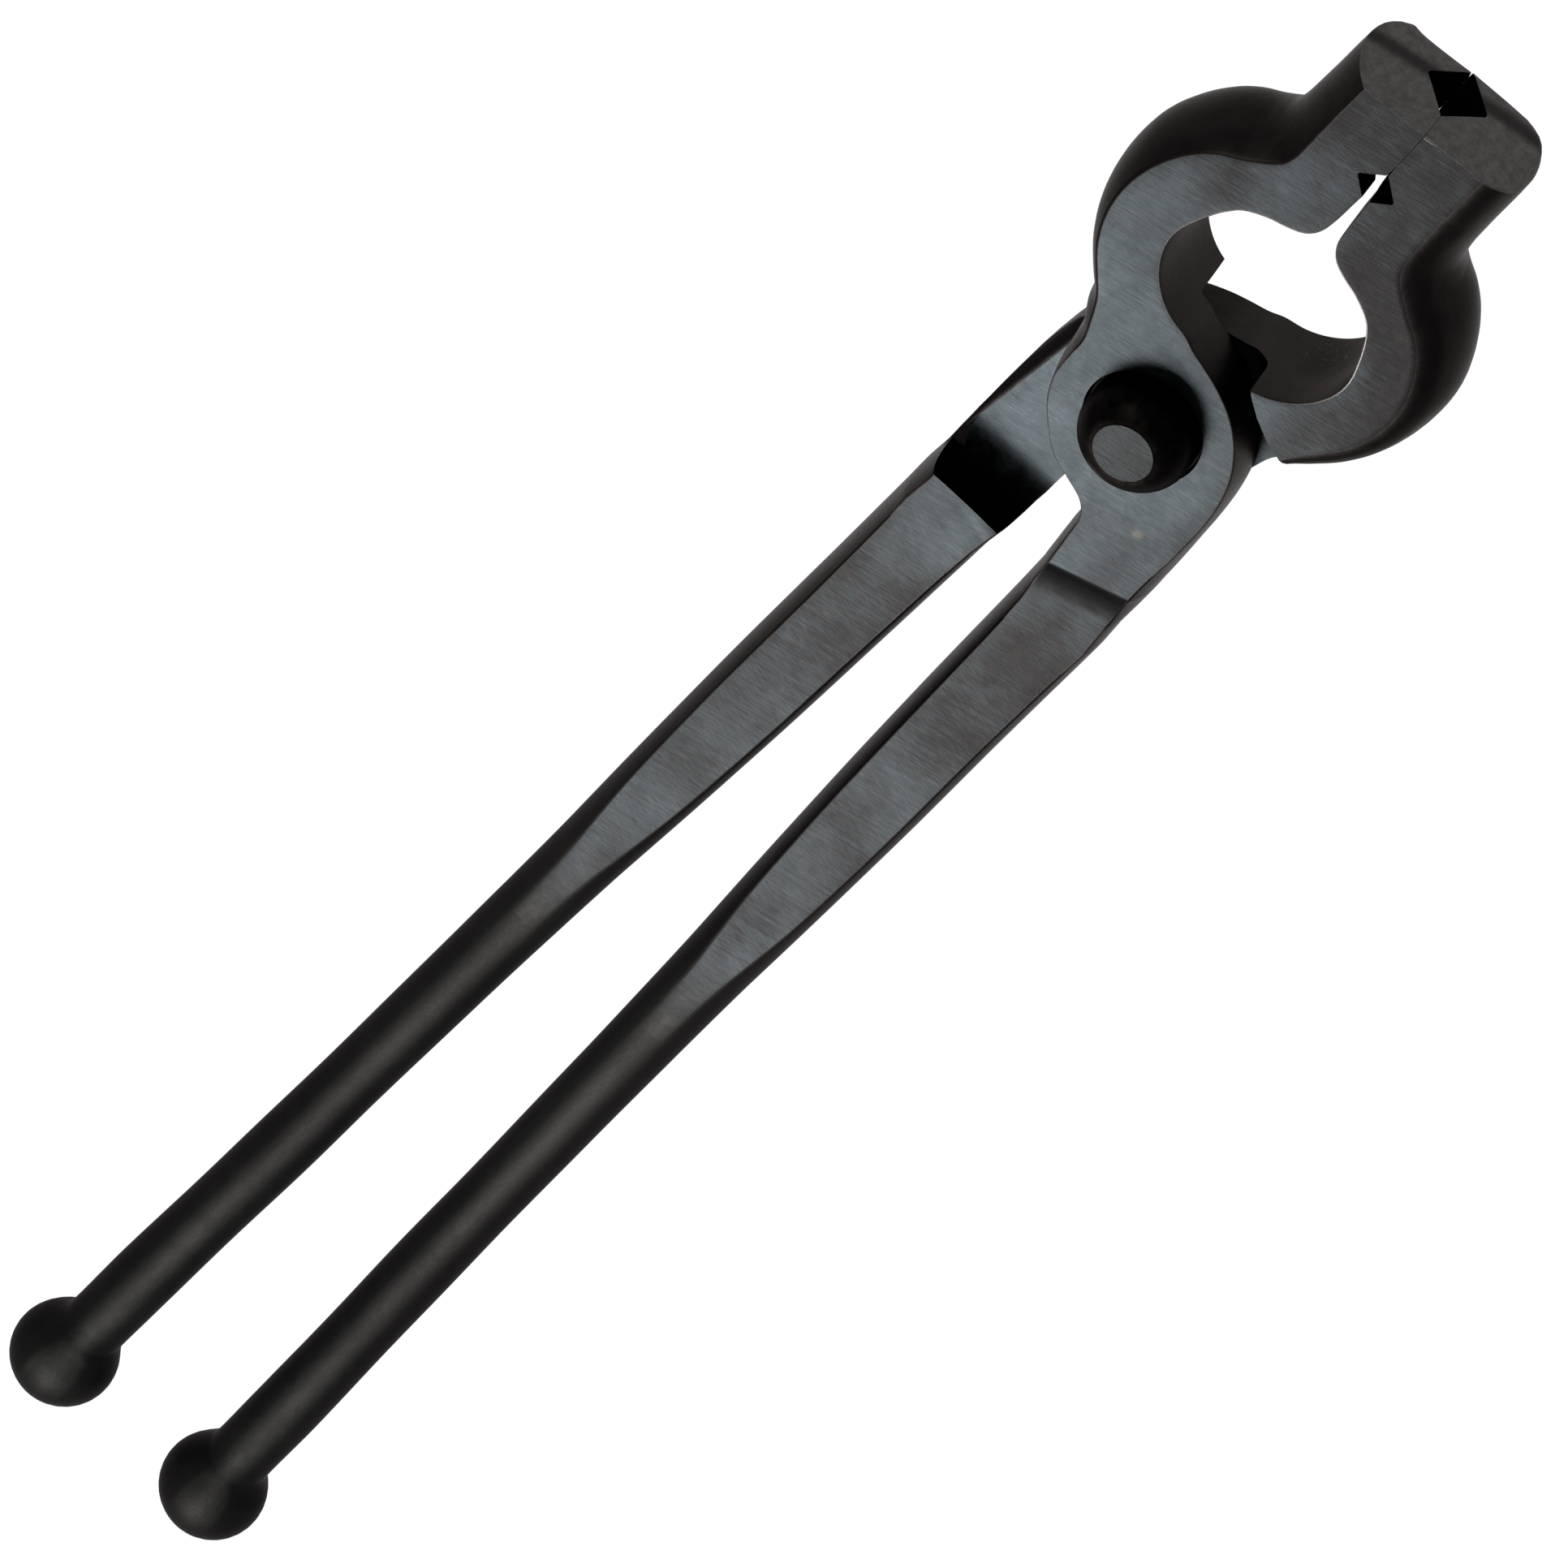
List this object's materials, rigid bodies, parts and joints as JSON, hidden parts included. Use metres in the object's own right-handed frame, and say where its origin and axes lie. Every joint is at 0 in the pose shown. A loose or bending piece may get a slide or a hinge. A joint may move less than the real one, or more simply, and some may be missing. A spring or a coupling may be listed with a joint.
{
  "type": "fencing pliers",
  "caption": "Long-handled bow-jawed fencing pliers: two forged steel levers lapped on one rivet, grooved gripping jaws, round handles ending in balls.",
  "frame": {"origin": "on the rivet's axis, on the flat of the rivet's back end", "axes": "+X along the tool to the jaw tips, +Z along the rivet's axis to its domed front head, +Y to the side of the front lever's jaw"},
  "size_m": [0.3551, 0.0586, 0.0261],
  "materials": {
    "blackened_steel": "oil-blackened forged steel, flat faces ground across, rods smooth satin",
    "rivet_steel": "hammered dome, blackened, with a ground flat top"
  },
  "bodies": {
    "back_lever": {"back_lever": "blackened_steel", "pivot_rivet": "rivet_steel"},
    "front_lever": {"front_lever": "blackened_steel"}
  },
  "joints": [
    {"name": "jaw_pivot", "type": "hinge", "parent": "back_lever", "child": "front_lever", "pos_m": [0, 0, 0.0097], "axis": [0, 0, 1], "range_deg": [0, 40]}
  ]
}
